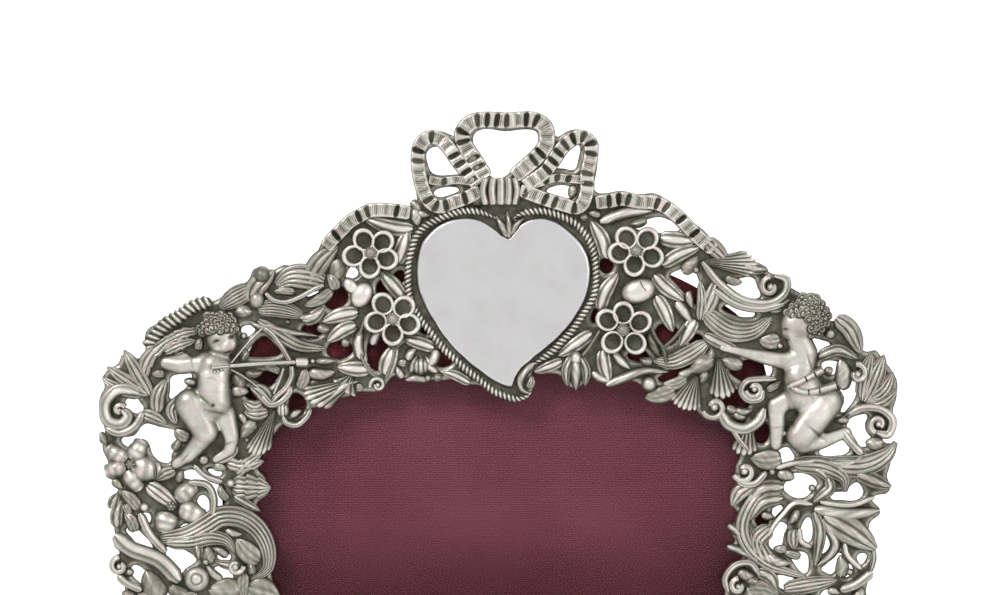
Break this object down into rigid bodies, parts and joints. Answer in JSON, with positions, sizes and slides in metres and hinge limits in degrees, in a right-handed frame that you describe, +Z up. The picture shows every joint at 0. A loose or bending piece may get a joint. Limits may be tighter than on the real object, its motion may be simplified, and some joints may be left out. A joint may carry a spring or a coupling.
{
  "type": "heart shaped photo frame",
  "caption": "Free-standing heart shaped picture frame: pierced silver front with putti, flowers and a ribbon bow, velvet covered back and a hinged strut.",
  "frame": {"origin": "middle of the foot's flat bottom face, on the table", "axes": "+Z up, +X to the viewer's right, +Y from the viewer towards the strut; the face looks along -Y and leans back by 12 degrees"},
  "size_m": [0.2006, 0.0825, 0.2194],
  "materials": {
    "patinated_silver": "stamped silver, rubbed bright on the high points and dark in the recesses",
    "polished_silver": "polished silver with fine wear",
    "burgundy_velvet": "worn dark red velvet",
    "burgundy_silk": "ribbed silk",
    "dark_wood": "stained hardwood",
    "clear_glass": "clear sheet glass",
    "grey_card": "plain board",
    "brass_fittings": "aged brass"
  },
  "bodies": {
    "frame": {"openwork_mount": "patinated_silver", "heart_plate": "polished_silver", "heart_rope_border": "patinated_silver", "bow_knot": "patinated_silver", "bow_centre_loop": "patinated_silver", "bow_left_loop": "patinated_silver", "bow_right_loop": "patinated_silver", "ribbon_tail_left": "patinated_silver", "ribbon_tail_right": "patinated_silver", "flower_upper_left": "patinated_silver", "flower_lower_left": "patinated_silver", "flower_upper_right": "patinated_silver", "flower_lower_right": "patinated_silver", "putto_left": "patinated_silver", "putto_right": "patinated_silver", "bow_and_arrow": "patinated_silver", "leaf_sprays_left": "patinated_silver", "lilies_left": "patinated_silver", "shells_left": "patinated_silver", "acanthus_left": "patinated_silver", "scrolls_left": "patinated_silver", "leaf_sprays_right": "patinated_silver", "shells_right": "patinated_silver", "acanthus_right": "patinated_silver", "scrolls_right": "patinated_silver", "lower_leaves_left": "patinated_silver", "lower_leaves_right": "patinated_silver", "lower_scrolls_left": "patinated_silver", "lower_scrolls_right": "patinated_silver", "lower_shell": "patinated_silver", "mount_pins": "patinated_silver", "backing_frame": "dark_wood", "frame_velvet": "burgundy_velvet", "glass_pane": "clear_glass", "silk_facing": "burgundy_silk", "insert_card": "grey_card", "packing_board": "grey_card", "back_panel": "dark_wood", "back_panel_velvet": "burgundy_velvet", "turn_button_screws": "brass_fittings", "hinge_fixed_leaf": "brass_fittings", "hinge_pin": "brass_fittings", "hinge_fixed_screws": "brass_fittings"},
    "strut": {"hinge_moving_leaf": "brass_fittings", "hinge_moving_screws": "brass_fittings", "strut_board": "dark_wood", "strut_velvet": "burgundy_velvet"},
    "turn_button_upper_left": {"turn_button_upper_left": "brass_fittings"},
    "turn_button_upper_right": {"turn_button_upper_right": "brass_fittings"},
    "turn_button_lower_left": {"turn_button_lower_left": "brass_fittings"},
    "turn_button_lower_right": {"turn_button_lower_right": "brass_fittings"}
  },
  "joints": [
    {"name": "strut_hinge", "type": "hinge", "parent": "frame", "child": "strut", "pos_m": [0, 0.03499, 0.12614], "axis": [1, 0, 0], "range_deg": [-28, 0]},
    {"name": "turn_button_upper_left_pivot", "type": "hinge", "parent": "frame", "child": "turn_button_upper_left", "pos_m": [-0.05345, 0.03929, 0.15216], "axis": [0, 0.9781, -0.2079], "range_deg": [0, 90]},
    {"name": "turn_button_upper_right_pivot", "type": "hinge", "parent": "frame", "child": "turn_button_upper_right", "pos_m": [0.05521, 0.03929, 0.15216], "axis": [0, 0.9781, -0.2079], "range_deg": [-90, 0]},
    {"name": "turn_button_lower_left_pivot", "type": "hinge", "parent": "frame", "child": "turn_button_lower_left", "pos_m": [-0.04718, 0.01999, 0.06134], "axis": [0, 0.9781, -0.2079], "range_deg": [0, 90]},
    {"name": "turn_button_lower_right_pivot", "type": "hinge", "parent": "frame", "child": "turn_button_lower_right", "pos_m": [0.04718, 0.01999, 0.06134], "axis": [0, 0.9781, -0.2079], "range_deg": [-90, 0]}
  ]
}
